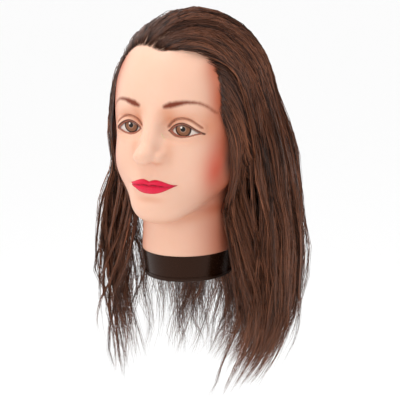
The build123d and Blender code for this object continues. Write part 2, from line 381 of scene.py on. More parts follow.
# airbrushed blush and painted shade, in patches: (centre across, forward, up), (reach across, forward, up),
# strength
# painted shade, partly an airbrushed contour: along the hairline at the temples and down the sides of the
# jaw and neck
SIDE_SHADE = (
    ((57, -46, 228), (13, 17, 20), 0.94), ((62, -50, 196), (13, 16, 34), 0.97),
    ((67, -45, 147), (18, 20, 40), 0.98), ((64, -18, 96), (31, 39, 27), 0.94),
    ((56, -8, 45), (32, 49, 62), 0.92), ((46, -20, 76), (30, 32, 6), 0.55),
)
# painted shade in the hollows: round the eyes, beside and under the nose, under the lower lip and under the
# jaw
SOFT_SHADE = (
    ((17, -80, 176), (7, 14, 9), 0.55), ((30, -74, 178), (19, 12, 6), 0.4),
    ((19, -86, 146), (5, 12, 12), 0.3), ((50, -60, 168), (10, 12, 12), 0.5),
    ((0, -92, 96), (14, 12, 3.5), 0.35), ((17, -84, 185), (9, 14, 5), 0.35),
    ((0, -60, 70), (60, 40, 6), 0.45), ((8, -98, 133), (9, 9, 3.5), 0.5),
    ((30, -70, 154), (16, 12, 4), 0.25),
)
BLUSH = (((57, -54, 123), (13, 19, 23), 0.88),)
# how wide each painted line is: (how far along it), (half its width)
BROW_WIDTH = ((0, 0.12, 0.28, 0.45, 0.7, 1), (2.0, 3.2, 2.7, 1.7, 1.1, 0.7))
UPPER_LINE_WIDTH = ((0, 0.2, 0.6, 1), (0.4, 0.9, 1.15, 0.9))
LOWER_LINE_WIDTH = ((0, 0.3, 1), (0.35, 0.1, 0.0))
# paint is only in front of this, and everything behind it counts as this far away
FACE_FRONT, OFF_THE_FACE = -35, 99


def airbrush_and_shade(p, patches):
    """How much of the patches' colour lies at each point, from nought to one, for airbrushed blush and for
    painted shade.
    """
    bare = np.ones(len(p))
    for centre, reach, strength in patches:
        away = (mirrored(p) - centre) / reach
        bare *= 1 - strength * np.exp(-np.sum(away ** 2, axis=1))
    return 1 - bare


def closed_outline(top, foot):
    """Points round the shape between an upper and a lower line that share their ends."""
    return np.vstack([smooth_line(top, 40)[:-1], smooth_line(foot, 40)[:0:-1]])


def face_marks(p):
    """Signed distances, in millimetres, that the face's paint and fine relief are drawn from, with masks of
    blush and painted shade.
    """
    flat = np.stack([np.abs(p[:, 0]), p[:, 2]], axis=1)
    far = np.where(p[:, 1] < FACE_FRONT, 0, OFF_THE_FACE)
    lips = closed_outline(LIP_TOP, LIP_FOOT)
    lips = np.vstack([lips, lips[::-1] * (-1, 1)])
    seam, _ = line_distance(flat, smooth_line(LIP_LINE, 40))
    crease, crease_t = line_distance(flat, smooth_line(LID_CREASE, 40))
    brow, brow_t = line_distance(flat, smooth_line(BROW, 40))
    upper, upper_t = line_distance(flat, smooth_line(UPPER_LID, 40))
    lower, lower_t = line_distance(flat, smooth_line(LOWER_LID, 40))
    return {
        "opening": outline_distance(flat, closed_outline(UPPER_LID, LOWER_LID)) + far,
        "lip": outline_distance(flat, lips) + far,
        "seam": seam + far,
        "crease": crease + far + 4 * fade(crease_t, 0.86, 1) + 2 * (1 - fade(crease_t, 0, 0.08)),
        "brow": brow - np.interp(brow_t, *BROW_WIDTH) + far,
        "brow_run": brow_t,
        "upper_line": upper - np.interp(upper_t, *UPPER_LINE_WIDTH) + far,
        "lower_line": lower - np.interp(lower_t, *LOWER_LINE_WIDTH) + far,
        "side_shade": airbrush_and_shade(p, SIDE_SHADE),
        "soft_shade": airbrush_and_shade(p, SOFT_SHADE),
        "blush": airbrush_and_shade(p, BLUSH),
    }


RAY_NEAR, RAY_FAR = 5, 150
# points this near the eye's opening are moved onto its edge
SNAP_REACH, SNAP_STEP = 0.45, 0.1
# points further inside the opening than this are sunk below the eye's surface, by so much
SUNK_PAST_EDGE, SUNK_UNDER_EYE = -0.05, 1.2
# the two rows over the cut edge: (share of the width of the row beside them, how far they drop)
RIM_DROP = ((0.992, 0.12), (1.008, 0.75))


def skin_walls():
    """Rows of points down the outside of the bald head, over the cut edge and back up the inside."""
    back, height, tilt = skin_rays()[1:].T
    angle, tilt = column_angles(), np.radians(tilt)
    way = np.stack([np.cos(tilt)[:, None] * np.sin(angle), -np.cos(tilt)[:, None] * np.cos(angle),
                    np.repeat(np.sin(tilt)[:, None], len(angle), axis=1)], axis=2)
    start = np.zeros_like(way)
    start[:, :, 1], start[:, :, 2] = back[:, None], height[:, None]
    outside = thrown(head_form, start.reshape(-1, 3), way.reshape(-1, 3), RAY_NEAR, RAY_FAR)
    outside = relaxed(head_form, outside.reshape(way.shape), 6)
    outside[-1, :, 2] = NECK_FOOT + FOOT_RISE
    wall = np.rint(np.linspace(len(way) - 1, 0, INNER_ROWS)).astype(int)
    inside = thrown(inner_form, start[wall].reshape(-1, 3), way[wall].reshape(-1, 3), RAY_NEAR, RAY_FAR)
    inside = inside.reshape(INNER_ROWS, -1, 3)
    inside[0, :, 2] = NECK_FOOT + INNER_FOOT_RISE
    rim = [row * (share, share, 1) - (0, 0, drop)
           for row, (share, drop) in zip((outside[-1], inside[0]), RIM_DROP)]
    return outside, np.array(rim), inside


def snapped_to_opening(left, near):
    """Points close to the edge of the eye's opening, moved onto it."""
    for _ in range(2):
        pull = [face_marks(left[near] + np.array(axis) * SNAP_STEP)["opening"]
                - face_marks(left[near] - np.array(axis) * SNAP_STEP)["opening"]
                for axis in ((1, 0, 0), (0, 0, 1))]
        pull = np.stack([pull[0], np.zeros(near.sum()), pull[1]], axis=1) / (2 * SNAP_STEP)
        left[near] -= pull * face_marks(left[near])["opening"][:, None] * 0.9
    return left


def with_features(p):
    """The face's points with lips, lid creases and the openings that the eyes show through."""
    marks = face_marks(p)
    near_edge = np.abs(marks["opening"]) < SNAP_REACH
    sunk = (marks["opening"] < SUNK_PAST_EDGE) & ~near_edge
    left = snapped_to_opening(mirrored(p), near_edge)
    relief = lips_relief(left) - 1.0 * hump(marks["crease"], 1.0) + 0.4 * hump(marks["crease"] - 2.0, 1.4)
    relief += 0.5 * hump(marks["opening"] - 0.9, 0.9)
    moved = left + slope(head_form, left) * relief[:, None]
    q = eye_frame(left[sunk])
    q /= np.linalg.norm(q / (EYE_HALF - SUNK_UNDER_EYE), axis=1)[:, None]
    c, s = math.cos(EYE_TURN), math.sin(EYE_TURN)
    moved[sunk] = EYE_AT + np.stack([q[:, 0] * c - q[:, 1] * s, q[:, 0] * s + q[:, 1] * c, q[:, 2]], axis=1)
    moved[:, 0] *= np.where(p[:, 0] < 0, -1, 1)
    return moved


def make_skin():
    """One closed skin: a ball's rows laid down the outside of the head and back up its inner wall."""
    outside, rim, inside = skin_walls()
    outside = with_features(outside.reshape(-1, 3)).reshape(outside.shape)
    whole = np.vstack([outside, rim, inside])
    rows = len(whole) + 1
    mesh, row, column = sphere_rows("face_and_neck_skin", SKIN_COLUMNS, rows)
    at = np.empty((len(row), 3))
    between = (row > 0) & (row < rows)
    at[between] = whole[row[between] - 1, column[between]]
    at[row == 0] = whole[0].mean(axis=0)
    at[row == rows] = whole[-1].mean(axis=0)
    put_points(mesh, at * MM)
    for name, values in face_marks(at).items():
        give(mesh, name, values)
    return new_piece(mesh)


# ---------------------------------------------------------------- materials


def linear(red, green, blue):
    """A colour given as 0 to 255 screen values, in the linear scale that materials use."""
    return tuple((v / 255 / 12.92) if v <= 10 else ((v / 255 + 0.055) / 1.055) ** 2.4
                 for v in (red, green, blue)) + (1.0,)


# where a Mix node keeps its share, its two colours and its result
MIX_INPUTS = (0, 6, 7)
MIX_RESULT = 2


class Finish:
    """A material being wired up, with short ways to add its nodes."""

    def __init__(self, name, **sockets):
        self.material = bpy.data.materials.new(name)
        self.material.use_nodes = True
        self.tree = self.material.node_tree
        self.shader = self.tree.nodes["Principled BSDF"]
        for socket, value in sockets.items():
            self.shader.inputs[socket.replace("_", " ")].default_value = value

    def link(self, source, target):
        self.tree.links.new(source, target)

    def node(self, kind, **settings):
        made = self.tree.nodes.new(kind)
        for setting, value in settings.items():
            setattr(made, setting, value)
        return made

    def number(self, name):
        return self.node("ShaderNodeAttribute", attribute_name=name).outputs["Fac"]

    def math(self, operation, *values):
        made = self.node("ShaderNodeMath", operation=operation)
        for socket, value in zip(made.inputs, values):
            if isinstance(value, (int, float)):
                socket.default_value = value
            else:
                self.link(value, socket)
        return made.outputs[0]

    def step(self, value, low, high, out_low=0.0, out_high=1.0):
        made = self.node("ShaderNodeMapRange", interpolation_type="SMOOTHSTEP")
        self.link(value, made.inputs["Value"])
        ends = {"From Min": low, "From Max": high, "To Min": out_low, "To Max": out_high}
        for socket, number in ends.items():
            made.inputs[socket].default_value = number
        return made.outputs["Result"]

    def blend(self, share, under, over):
        made = self.node("ShaderNodeMix", data_type="RGBA")
        for k, value in zip(MIX_INPUTS, (share, under, over)):
            socket = made.inputs[k]
            if isinstance(value, (int, float, tuple)):
                socket.default_value = value
            else:
                self.link(value, socket)
        return made.outputs[MIX_RESULT]

    def place(self, scale=(1, 1, 1), location=(0, 0, 0)):
        where = self.node("ShaderNodeTexCoord").outputs["Object"]
        made = self.node("ShaderNodeMapping")
        made.inputs["Location"].default_value = location
        made.inputs["Scale"].default_value = scale
        self.link(where, made.inputs["Vector"])
        return made.outputs["Vector"]

    def noise(self, where, scale, detail=3.0, roughness=0.5):
        made = self.node("ShaderNodeTexNoise")
        made.inputs["Scale"].default_value = scale
        made.inputs["Detail"].default_value = detail
        made.inputs["Roughness"].default_value = roughness
        self.link(where, made.inputs["Vector"])
        return made.outputs["Fac"]

    def bump(self, height, strength, distance):
        made = self.node("ShaderNodeBump")
        made.inputs["Strength"].default_value = strength
        made.inputs["Distance"].default_value = distance
        self.link(height, made.inputs["Height"])
        self.link(made.outputs["Normal"], self.shader.inputs["Normal"])

    def feed(self, socket, value):
        self.link(value, self.shader.inputs[socket])


# each printed iris: its centre across and up, and its radius and the pupil's
IRIS_AT = {"printed_eye_left": (30.0, 166.4), "printed_eye_right": (-27.8, 167.2)}
IRIS, PUPIL = 8.2, 2.6
GLINT_OFF_CENTRE = (-1.7, 1.6)


def skin_finish(wanted):
    """Satin vinyl with an airbrushed and painted face, and painted shade by the hair, in the hollows, along
    the lid crease, inside the eye openings and between the lips.
    """
    skin = Finish("satin_painted_vinyl", Roughness=0.42, IOR=1.46, Specular_IOR_Level=0.22)
    skin.shader.inputs["Subsurface Weight"].default_value = 0.12
    skin.shader.inputs["Subsurface Radius"].default_value = (0.006, 0.0025, 0.0015)
    skin.shader.inputs["Subsurface Scale"].default_value = 1.0
    where = skin.place()
    cloudy = skin.noise(where, 38, 3)
    colour = skin.blend(cloudy, tuple(wanted.skin_colour), linear(230, 183, 158))
    # painted shade, partly an airbrushed contour, by the hair and down the jaw and neck
    colour = skin.blend(skin.number("side_shade"), colour, tuple(wanted.shade_colour))
    # painted shade in the face's hollows
    colour = skin.blend(skin.number("soft_shade"), colour, linear(206, 126, 84))
    colour = skin.blend(skin.number("blush"), colour, tuple(wanted.blush_colour))
    # painted shade: darker along the lid crease
    crease = skin.step(skin.number("crease"), 2.0, 0.0, 0, 0.85)
    colour = skin.blend(crease, colour, linear(140, 76, 52))
    strokes = skin.noise(skin.place(scale=(700, 200, 260)), 1.0, 2)
    ragged = skin.math("MULTIPLY", skin.math("SUBTRACT", strokes, 0.5), 1.3)
    brow_edge = skin.math("ADD", skin.number("brow"), ragged)
    brow = skin.step(brow_edge, 1.8, -2.2, 0, 0.97)
    tail = skin.step(skin.number("brow_run"), 0.45, 0.8, 0, 0.45)
    brow_colour = skin.blend(tail, tuple(wanted.brow_colour), linear(150, 76, 44))
    colour = skin.blend(brow, colour, brow_colour)
    upper = skin.step(skin.number("upper_line"), 0.8, -0.5, 0, 0.96)
    colour = skin.blend(upper, colour, linear(74, 34, 20))
    lower = skin.step(skin.number("lower_line"), 0.4, -0.2, 0, 0.9)
    colour = skin.blend(lower, colour, linear(104, 54, 36))
    # painted shade: the skin's wall inside the eye's opening is darkened
    opening = skin.step(skin.number("opening"), 0.1, -0.5)
    colour = skin.blend(opening, colour, linear(168, 100, 80))
    lip = skin.step(skin.number("lip"), 0.28, -0.28)
    lip_tone = skin.noise(skin.place(scale=(700, 300, 120)), 1.0, 2)
    lip_colour = skin.blend(lip_tone, tuple(wanted.lip_colour), linear(206, 24, 58))
    lip_rim = skin.step(skin.number("lip"), -0.9, 0.0, 0, 0.55)
    # painted shade: darker in the seam between the lips
    lip_seam = skin.step(skin.number("seam"), 0.75, 0.0, 0, 0.75)
    lip_colour = skin.blend(lip_seam, lip_colour, linear(110, 10, 28))
    lip_colour = skin.blend(lip_rim, lip_colour, linear(170, 22, 46))
    colour = skin.blend(lip, colour, lip_colour)
    skin.feed("Base Color", colour)
    grain = skin.noise(where, 900, 2)
    rough = skin.step(grain, 0.3, 0.7, 0.38, 0.47)
    glossy_lip = skin.math("MULTIPLY", lip, -0.28)
    skin.feed("Roughness", skin.math("ADD", rough, glossy_lip))
    skin.bump(grain, 0.06, 0.0004)
    return skin.material


def eye_finish(name, wanted):
    """A printed brown iris under a clear coat, with painted shade at the white's edges and under the upper
    lid, and a painted highlight.
    """
    eye = Finish(name, Roughness=0.3, IOR=1.4, Specular_IOR_Level=0.2)
    eye.shader.inputs["Coat Weight"].default_value = 0.35
    eye.shader.inputs["Coat Roughness"].default_value = 0.04
    iris_across, iris_up = IRIS_AT[name]
    flat = eye.place(scale=(1 / MM, 0, 1 / MM), location=(-iris_across, 0, -iris_up))
    parts = eye.node("ShaderNodeSeparateXYZ")
    eye.link(flat, parts.inputs[0])
    across, up = parts.outputs["X"], parts.outputs["Z"]
    squares = eye.math("ADD", eye.math("MULTIPLY", across, across), eye.math("MULTIPLY", up, up))
    out = eye.math("SQRT", squares)
    turn = eye.math("ARCTAN2", up, across)
    rays = eye.node("ShaderNodeCombineXYZ")
    eye.link(eye.math("MULTIPLY", turn, 7.0), rays.inputs[0])
    eye.link(eye.math("MULTIPLY", out, 0.35), rays.inputs[1])
    fibres = eye.noise(rays.outputs[0], 1.6, 4, 0.7)
    white = eye.blend(eye.noise(flat, 0.25, 2), linear(228, 214, 204), linear(206, 190, 180))
    # painted shade: the white darkens towards its edges, under the lids
    edge = eye.step(out, 8.5, 16.0, 0, 0.5)
    white = eye.blend(edge, white, linear(190, 150, 138))
    iris = eye.blend(fibres, linear(78, 42, 24), tuple(wanted.iris_colour))
    iris = eye.blend(eye.step(out, PUPIL + 1.4, PUPIL - 0.2, 0, 0.4), iris, linear(206, 176, 158))
    iris = eye.blend(eye.step(out, IRIS - 2.3, IRIS - 0.9, 0, 0.97), iris, linear(38, 18, 12))
    colour = eye.blend(eye.step(out, IRIS + 0.3, IRIS - 0.3), white, iris)
    colour = eye.blend(eye.step(out, PUPIL + 0.3, PUPIL - 0.3), colour, linear(10, 6, 6))
    lid_shadow = eye.step(eye.number("lid_gap"), 3.6, 1.0, 0, 0.9)
    colour = eye.blend(lid_shadow, colour, linear(58, 30, 20))
    spot_across, spot_up = GLINT_OFF_CENTRE
    glint = eye.place(scale=(1 / MM, 0, 1 / MM),
                      location=(-iris_across - spot_across, 0, -iris_up - spot_up))
    away = eye.node("ShaderNodeVectorMath", operation="LENGTH")
    eye.link(glint, away.inputs[0])
    colour = eye.blend(eye.step(away.outputs["Value"], 1.2, 0.6, 0, 0.9), colour, linear(250, 240, 232))
    eye.feed("Base Color", colour)
    return eye.material


def plain_finish(name, colour, roughness, grain_scale, depth, **sockets):
    """Moulded plastic, metal or foam with a fine grain."""
    made = Finish(name, Specular_IOR_Level=0.3, **sockets)
    where = made.place()
    grain = made.noise(where, grain_scale, 3)
    patches = made.noise(where, 30, 2)
    colour = tuple(colour)
    dark = tuple(v * 0.86 for v in colour[:3]) + (1.0,)
    made.feed("Base Color", made.blend(patches, colour, dark))
    made.feed("Roughness", made.step(grain, 0.3, 0.7, roughness - 0.05, roughness + 0.05))
    made.bump(grain, 0.2, depth)
    tint = tuple(0.35 + 0.65 * v / max(colour[:3]) for v in colour[:3]) + (1.0,)
    made.shader.inputs["Specular Tint"].default_value = tint
    return made.material


def make_eye(name, side):
    """One printed eye, whose side is 1 on the left and -1 on the right."""
    made = bmesh.new()
    bmesh.ops.create_uvsphere(made, u_segments=96, v_segments=60, radius=1)
    turn = Matrix.Rotation(side * EYE_TURN, 4, "Z")
    place = Matrix.Translation(EYE_AT * (side, 1, 1) * MM)
    size = Matrix.Diagonal((*(EYE_HALF * MM), 1))
    bmesh.ops.transform(made, matrix=place @ turn @ size, verts=made.verts)
    mesh = bpy.data.meshes.new(name)
    made.to_mesh(mesh)
    made.free()
    at = points_of(mesh) / MM
    gap, _ = line_distance(np.stack([np.abs(at[:, 0]), at[:, 2]], axis=1), smooth_line(UPPER_LID, 40))
    give(mesh, "lid_gap", gap)
    return new_piece(mesh)


# ---------------------------------------------------------------- hair

GUIDES = 900
GUIDE_STEP = 6.0
GUIDE_STEPS = 92
LOCKS, LOCK_STRENGTH = 150, 0.66
STRAND_RINGS = 15
STRAND_PITCH = 10.0
MIDDLE = 12.0

# the front hairline, seen from the front: (across, up); hair grows outside this arch
HAIRLINE = ((0, 240.6), (6, 241.4), (12, 242.8), (20, 243.8), (29, 243.4), (36.6, 241.0), (44, 235.0),
            (50, 227.5), (57, 213.0), (60, 194.0), (62, 174.0))
ARCH_HUB = 170.0
# how far forward the hanging hair comes, by height: (up, left side's front edge, right side's)
CURTAIN = ((-140, -66, -34), (-75, -56, -34), (-30, -42, -22), (25, -28, -20), (60, -20, -24),
           (95, -25, -30), (133, -40, -38), (153, -46, -42), (174, -52, -46), (194, -53, -48),
           (214, -52, -48), (232, -50, -49), (245, -62, -60), (300, -80, -80))
# how far out the hair hangs, by height: (up, across, back, front)
SPREAD = ((-140, 86, 84, 60), (-80, 99, 100, 70), (-20, 109, 112, 80), (20, 113, 114, 84),
          (60, 112, 114, 86), (110, 106, 114, 90), (160, 96, 112, 92), (204, 86, 108, 95),
          (240, 76, 96, 80), (300, 40, 60, 40))
SPREAD_ROUND = 2.4
# what the hair lies on, where it isn't the head's own form
FACE_BED_HALF = (64, 64, 83)
EAR_BED = ((74, 8, 152), (8, 16, 28))
# no strand goes past these corners
HAIR_BOX = ((-116, -112, -133), (116, 126, 282.5))
# hair lies on the head above the first height and hangs free below the second
HANGS_FROM, HANGS_BELOW = 215, 150
LOWEST_CUT, HIGHEST_CUT = -131, 120
# a few strands in a hundred are loose: they stay outside their lock and wander further
LOOSE_SHARE, LOOSE_REACH, LOOSE_WANDER = 0.05, 1.25, 2.6
# the small waves in a strand: (how many along it, how far they sway)
WANDERS = ((1.3, 1.0), (2.6, 0.75), (4.7, 0.45))
# a strand's thickness from its root to its tip: (how far along), (how thick)
TAPER = ((0, 0.06, 0.55, 1), (0.55, 1.0, 1.0, 0.25))


def table(rows, at):
    """Each column of a table of numbers, read off smoothly at given heights."""
    rows = np.array(rows, float)
    return [np.interp(at, rows[:, 0], rows[:, k]) for k in range(1, rows.shape[1])]


def hair_bed(p):
    """Signed distance to what the hair lies on."""
    q = mirrored(p)
    d = joined(ball(q, *SKULL), ball(q, FACE[0], FACE_BED_HALF), 16)
    d = joined(d, neck_column(q), 9)
    return joined(d, ball(q, *EAR_BED), 12)


def outside_hairline(p):
    """Where hair grows: above the scalp's lower edge and behind the hairline."""
    line = smooth_line(HAIRLINE, 60)
    arch = np.interp(np.abs(p[:, 0]), line[:, 0], line[:, 1], right=-1e3)
    above_face = (p[:, 2] > arch) | (np.abs(p[:, 0]) > line[-1, 0]) | (p[:, 1] > -30)
    above_edge = (p[:, 1] + 58) * 0.73 + (p[:, 2] - 236) * 0.68 > 0
    temple = (p[:, 1] > -48) & (p[:, 2] > 168 - 0.6 * (p[:, 1] + 20))
    return above_face & (above_edge | temple) & (p[:, 2] > 66)


def scalp_points(rng, count):
    """Points spread over the scalp."""
    found = np.zeros((0, 3))
    while len(found) < count:
        way = rng.normal(size=(count * 3, 3))
        way /= np.linalg.norm(way, axis=1, keepdims=True)
        start = np.tile((0.0, 5.0, 185.0), (len(way), 1))
        at = thrown(hair_bed, start, way, 5, 160)
        found = np.vstack([found, at[outside_hairline(at)]])
    return found[:count]


def spread_out(points, keep):
    """The given number of points, picked so that they lie far apart."""
    chosen = [0]
    away = np.linalg.norm(points - points[0], axis=1)
    for _ in range(keep - 1):
        k = int(np.argmax(away))
        chosen.append(k)
        away = np.minimum(away, np.linalg.norm(points - points[k], axis=1))
    return points[chosen]


def off_the_face(p, spare):
    """Points moved outwards past the hairline where they would lie over the forehead or temple."""
    line = smooth_line(HAIRLINE, 60)
    turn = np.arctan2(line[:, 0], line[:, 1] - ARCH_HUB)
    reach = np.hypot(line[:, 0], line[:, 1] - ARCH_HUB)
    across, up = np.abs(p[:, 0]), p[:, 2] - ARCH_HUB
    now = np.hypot(across, up)
    need = np.interp(np.arctan2(across, up), turn, reach) + spare - now
    front = (1 - fade(p[:, 1], -34, -22)) * fade(p[:, 2], 168, 176)
    move = np.clip(need, 0, 30) * front
    share = 1 + move / np.maximum(now, 1)
    out = p.copy()
    out[:, 0] *= share
    out[:, 2] = ARCH_HUB + up * share
    return out


def hanging_share(p):
    """How freely the hair hangs at each point, from nought on the crown to one below the ears."""
    return fade(-p[:, 2], -HANGS_FROM, -HANGS_BELOW)


def comb_way(root):
    """Which way the hair is brushed at each root: off the forehead, back, and over to the left side."""
    across = np.clip(0.20 + (root[:, 0] + 40) / 95, -0.6, 1.1)
    across = np.where(root[:, 0] < -46, -0.55, across)
    back = np.full(len(root), 1.0)
    temple = fade(-root[:, 2], -240, -214) * fade(-root[:, 1], -12, 12)
    across = across * (1 - temple)
    down = -1.3 * np.maximum(hanging_share(root), temple)
    return np.stack([across, back, down], axis=1)


def unit(v):
    """Arrows, each with its length made one."""
    return v / np.maximum(np.linalg.norm(v, axis=1, keepdims=True), 1e-9)


def combed_on(p, comb, s):
    """The next points along the hair: combed at first, then falling, s millimetres from the roots."""
    n = slope(hair_bed, p, 1.0)
    tangent = comb - n * np.sum(comb * n, axis=1, keepdims=True)
    fall = np.tile((0.0, 0.0, -1.0), (len(p), 1))
    on_head = fade(p[:, 2], 150, 200)[:, None]
    fall_tangent = fall - n * np.sum(fall * n, axis=1, keepdims=True) * on_head
    pull = unit(tangent) * math.exp(-(s / 95) ** 2) + fall_tangent * min(1, 0.15 + s / 75)
    rise = n * 0.16 * math.exp(-s / 14)
    return p + unit(pull + rise) * GUIDE_STEP, n


def hung_out(p, layer, margin):
    """The hanging part, let out to its own layer of the whole shape and kept behind the front edge."""
    wide, behind, ahead = table(SPREAD, p[:, 2])
    deep = np.where(p[:, 1] > MIDDLE, behind, ahead)
    reach = np.abs(p[:, 0] / wide) ** SPREAD_ROUND + np.abs((p[:, 1] - MIDDLE) / deep) ** SPREAD_ROUND
    now = reach ** (1 / SPREAD_ROUND)
    share = 0.70 + 0.30 * layer
    hanging = hanging_share(p)
    grow = 1 + np.clip(share / np.maximum(now, 0.2) - 1, -0.08, 0.08) * 0.35 * hanging
    p[:, 0] *= grow
    p[:, 1] = MIDDLE + (p[:, 1] - MIDDLE) * grow
    left_edge, right_edge = table(CURTAIN, p[:, 2])
    edge = np.where(p[:, 0] > 0, left_edge, right_edge) + margin * hanging
    back = (edge - p[:, 1]) * 0.5 * fade(-p[:, 2], -248, -225)
    p[:, 1] = np.where(p[:, 1] < edge, p[:, 1] + back, p[:, 1])
    return p


def waved(path, amount, wavelength, phase, drift):
    """The paths with soft waves that grow towards their ends."""
    s = np.arange(path.shape[1]) * GUIDE_STEP
    swell = amount[:, None] * fade(s, 60, 320)[None]
    turn = 2 * math.pi * s[None] / wavelength[:, None]
    around = np.stack([-(path[:, :, 1] - MIDDLE), path[:, :, 0]], axis=2)
    around /= np.maximum(np.linalg.norm(around, axis=2, keepdims=True), 1e-6)
    path[:, :, :2] += around * (swell * np.sin(turn + phase[0][:, None]))[:, :, None]
    outward = np.stack([around[:, :, 1], -around[:, :, 0]], axis=2)
    path[:, :, :2] += outward * (0.6 * swell * np.sin(turn * 0.8 + phase[1][:, None]))[:, :, None]
    path[:, :, 0] += drift[:, None] * np.maximum(s - 150, 0)[None]
    # the ends sweep a little to the right
    low = np.maximum(-25 - path[:, :, 2], 0)
    path[:, :, 0] -= np.where(path[:, :, 0] > 0, 0.0024, 0.0009) * low ** 2
    return path


def guide_paths(rng, roots):
    """Long paths that the hair follows from its roots, over the head and down."""
    count = len(roots)
    height = np.clip((roots[:, 2] - 90) / 180, 0, 1)
    layer = np.clip(0.25 + 0.62 * height + rng.normal(0, 0.13, count), 0.05, 1.0)
    lift = 1.6 + 7.0 * layer
    comb = comb_way(roots) + rng.normal(0, 0.10, (count, 3))
    phase, wavelength = rng.uniform(0, 2 * math.pi, (2, count)), rng.uniform(85, 150, count)
    amount = np.where(roots[:, 0] < -20, 9.0, 2.8) * rng.uniform(0.4, 1.5, count)
    drift = rng.normal(0, 0.035, count)
    margin = np.abs(rng.normal(0, 9, count))
    p = roots.copy()
    path = [p.copy()]
    for k in range(GUIDE_STEPS):
        s = k * GUIDE_STEP
        p, n = combed_on(p, comb, s)
        want = lift * min(1, 0.10 + s / 70)
        short = np.maximum(want - hair_bed(p), 0)
        p = p + n * short[:, None] * 0.8
        p = off_the_face(hung_out(p, layer, margin), 0.6 + 0.25 * lift)
        away = hair_bed(p) - want
        near = (s < 130) & (away > 0)
        p = p - slope(hair_bed, p, 1.0) * (np.clip(away, 0, 6) * 0.5 * near)[:, None]
        path.append(p.copy())
    return waved(np.stack(path, axis=1), amount, wavelength, phase, drift)


def gathered(paths, rng):
    """Paths drawn together towards their ends into fewer, larger locks."""
    feet = paths[:, 60]
    heads = spread_out(feet[rng.permutation(len(feet))], LOCKS)
    nearest = np.argmin(np.linalg.norm(feet[:, None] - heads[None], axis=2), axis=1)
    s = np.linspace(0, 1, paths.shape[1])
    share = LOCK_STRENGTH * fade(s, 0.35, 0.95)
    out = paths.copy()
    for lock in range(LOCKS):
        mine = nearest == lock
        if mine.sum() > 1:
            middle = paths[mine].mean(axis=0)
            out[mine] += (middle - paths[mine]) * share[None, :, None]
    return out


def grown_on(made, edges):
    """One more ring beyond the given ring of edges: its points and its edges."""
    grown = bmesh.ops.extrude_edge_only(made, edges=edges)["geom"]
    verts = [item for item in grown if isinstance(item, bmesh.types.BMVert)]
    return verts, [item for item in grown if isinstance(item, bmesh.types.BMEdge)]


def strand_template():
    """One closed three-sided strand with its rings set one above the other."""
    made = bmesh.new()
    ring = bmesh.ops.create_circle(made, segments=3, radius=1.0)["verts"]
    edges = list({edge for vert in ring for edge in vert.link_edges})
    first = edges
    for _ in range(STRAND_RINGS - 1):
        verts, edges = grown_on(made, edges)
        bmesh.ops.translate(made, verts=verts, vec=(0, 0, 1))
    for loop, height in ((first, -1), (edges, STRAND_RINGS)):
        verts, _ = grown_on(made, loop)
        bmesh.ops.pointmerge(made, verts=verts, merge_co=(0, 0, height))
    bmesh.ops.recalc_face_normals(made, faces=made.faces)
    mesh = bpy.data.meshes.new("strand")
    made.to_mesh(mesh)
    made.free()
    return mesh


def directions(lines):
    """Which way each line runs at each of its points."""
    along = np.gradient(lines, axis=1)
    return along / np.maximum(np.linalg.norm(along, axis=2, keepdims=True), 1e-9)


def strands_mesh(name, lines, thick, tone):
    """Closed strands along the given lines: (strands, points along, 3), in millimetres."""
    single = bpy.data.objects.new(name, strand_template())
    bpy.context.scene.collection.objects.link(single)
    rows = single.modifiers.new("rows", "ARRAY")
    rows.use_relative_offset = False
    rows.use_constant_offset = True
    rows.constant_offset_displace = (STRAND_PITCH, 0, 0)
    rows.count = len(lines)
    graph = bpy.context.evaluated_depsgraph_get()
    mesh = bpy.data.meshes.new_from_object(single.evaluated_get(graph))
    bpy.data.objects.remove(single)
    mesh.name = name
    at = points_of(mesh)
    strand = np.rint(at[:, 0] / STRAND_PITCH).astype(int)
    x, y = at[:, 0] - strand * STRAND_PITCH, at[:, 1]
    ring = np.clip(np.rint(at[:, 2]).astype(int) + 1, 0, STRAND_RINGS + 1)
    along = directions(lines)
    aside = np.cross(along, (0.0, 0.0, 1.0))
    weak = np.linalg.norm(aside, axis=2) < 0.15
    aside[weak] = np.cross(along[weak], (0.0, 1.0, 0.0))
    aside /= np.maximum(np.linalg.norm(aside, axis=2, keepdims=True), 1e-9)
    out = np.cross(along, aside)
    size = thick[strand, ring][:, None]
    put = lines[strand, ring] + (aside[strand, ring] * x[:, None] + out[strand, ring] * y[:, None]) * size
    put_points(mesh, put * MM)
    give(mesh, "tone", tone[strand])
    give(mesh, "run", ring / (STRAND_RINGS + 1))
    return mesh


def cut_to_length(rng, guides, own, share):
    """Points along each strand's guide, from its root to where it is cut."""
    count, path = len(own), guides[own]
    with_lock = rng.choice([0.0, 1.0], count, p=[0.52, 0.48]) > 0
    lock_end = (-134 + 140 * rng.random(len(guides)) ** 0.9)[own]
    want = np.where(with_lock, lock_end, rng.uniform(-80, 95, count)) + rng.normal(0, 16, count)
    want = np.clip(want, LOWEST_CUT, HIGHEST_CUT)
    past = np.argmax(path[:, :, 2] < want[:, None], axis=1)
    past = np.where(past == 0, path.shape[1] - 1, past)
    at = share[None] * past[:, None]
    low = np.clip(np.floor(at).astype(int), 0, path.shape[1] - 2)
    part = (at - low)[:, :, None]
    rows = np.arange(count)[:, None]
    return path[rows, low] * (1 - part) + path[rows, low + 1] * part


def off_the_bed(lines, share):
    """Strands kept just outside the head and clear of the face, with their roots on the scalp."""
    flat = lines.reshape(-1, 3)
    deep = np.clip(0.35 - hair_bed(flat), 0, 12)
    flat = flat + slope(hair_bed, flat, 1.0) * deep[:, None]
    flat = off_the_face(flat, 0.1)
    deep = np.clip(0.2 - hair_bed(flat), 0, 12) + np.clip(0.2 - hair_bed(flat), -1.5, 0)
    first = np.tile(share < 0.04, len(lines))
    flat[first] += slope(hair_bed, flat[first], 1.0) * deep[first][:, None]
    return np.clip(flat, *HAIR_BOX).reshape(lines.shape)


